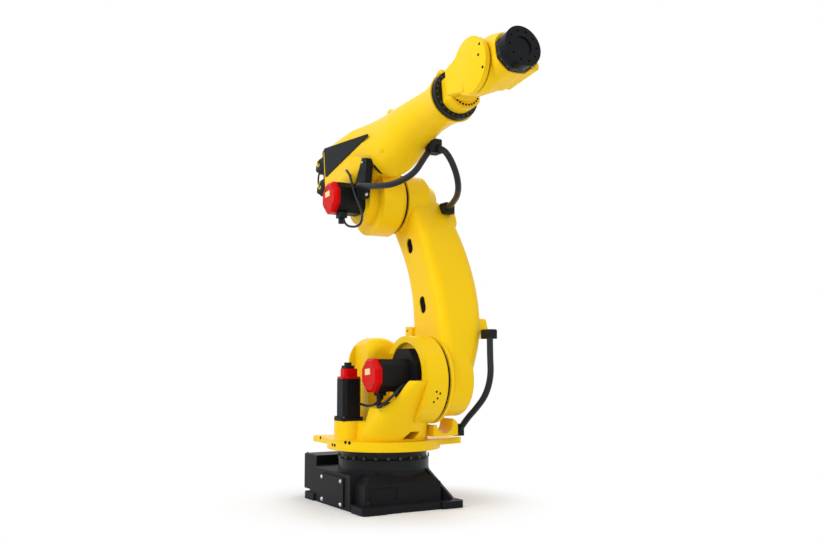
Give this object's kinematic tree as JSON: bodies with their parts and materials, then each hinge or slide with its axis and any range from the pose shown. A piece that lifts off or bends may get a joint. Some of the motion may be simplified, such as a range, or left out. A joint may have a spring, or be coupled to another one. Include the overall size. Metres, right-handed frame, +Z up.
{
  "type": "industrial robot arm",
  "caption": "Floor-standing articulated industrial robot arm: bolted base, turret, leaning lower arm, tapered forearm, hollow-cheek wrist and round tool flange, with motors and hoses.",
  "frame": {"origin": "on the floor, on the first (vertical) axis, in the plane of the base's underside", "axes": "+Z up, +X the way the arm reaches in the stored pose, +Y towards the side that carries the lower arm"},
  "size_m": [2.1462, 0.834, 2.4818],
  "materials": {
    "yellow_paint": "smooth glossy yellow paint on castings",
    "black_paint": "satin black paint",
    "motor_black": "matt black motor housing",
    "motor_red": "red motor end cap",
    "dark_steel": "blackened steel ring",
    "black_plastic": "dark moulded panel",
    "hose_rubber": "dark hose jacket"
  },
  "bodies": {
    "base": {"base_casting": "black_paint", "base_ring": "dark_steel", "connector_box": "black_paint", "connector_panel": "black_plastic", "base_side_cover": "black_paint"},
    "turret": {"turret_casting": "yellow_paint", "shoulder_ring": "dark_steel", "motor1_body": "motor_black", "motor1_cap": "motor_red", "motor2_adaptor": "motor_black", "motor2_body": "motor_black", "motor2_cap": "motor_red", "motor1_connector": "motor_red", "motor2_connector": "black_plastic", "cable_tray": "black_paint", "turret_hose_clamp": "black_plastic"},
    "lower_arm": {"lower_arm_casting": "yellow_paint", "elbow_ring": "dark_steel", "stop_block": "yellow_paint", "shoulder_hose": "hose_rubber", "shoulder_hose_clamp": "black_plastic", "elbow_hose_clamp": "black_plastic"},
    "forearm": {"forearm_casting": "yellow_paint", "wrist_ring": "dark_steel", "rear_plate": "black_paint", "motor4_body": "motor_black", "motor5_body": "motor_black", "motor6_body": "motor_black", "motor3_body": "motor_black", "motor3_cap": "motor_red", "motor3_connector": "black_plastic", "motor4_connector": "black_plastic", "motor5_connector": "black_plastic", "motor6_connector": "black_plastic", "side_panel": "black_paint", "motor_bracket": "black_paint", "lifting_lugs": "yellow_paint", "elbow_hose": "hose_rubber", "forearm_hose": "hose_rubber", "forearm_hose_clamp": "black_plastic"},
    "wrist_roll": {"wrist_hub": "yellow_paint", "bend_ring": "dark_steel"},
    "wrist_pitch": {"wrist_housing": "yellow_paint", "tool_ring": "dark_steel"},
    "tool": {"tool_flange": "dark_steel"}
  },
  "joints": [
    {"name": "turret_turn", "type": "hinge", "parent": "base", "child": "turret", "pos_m": [0, 0, 0.35], "axis": [0, 0, 1], "range_deg": [-180, 180]},
    {"name": "shoulder_swing", "type": "hinge", "parent": "turret", "child": "lower_arm", "pos_m": [0.283, 0.135, 0.734], "axis": [0, 1, 0], "range_deg": [-35, 90], "deforming": ["shoulder_hose"]},
    {"name": "elbow_swing", "type": "hinge", "parent": "lower_arm", "child": "forearm", "pos_m": [-0.13, 0.135, 1.836], "axis": [0, -1, 0], "range_deg": [-50, 85], "deforming": ["elbow_hose"]},
    {"name": "wrist_turn", "type": "hinge", "parent": "forearm", "child": "wrist_roll", "pos_m": [0.808, 0, 2.28], "axis": [0.9912, 0, 0.1323], "range_deg": [-360, 360]},
    {"name": "wrist_bend", "type": "hinge", "parent": "wrist_roll", "child": "wrist_pitch", "pos_m": [1.15195, -0.104, 2.32589], "axis": [0, 1, 0], "range_deg": [-120, 120]},
    {"name": "tool_turn", "type": "hinge", "parent": "wrist_pitch", "child": "tool", "pos_m": [1.42539, 0, 2.37018], "axis": [0.9871, 0, 0.1599], "range_deg": [-360, 360]}
  ]
}
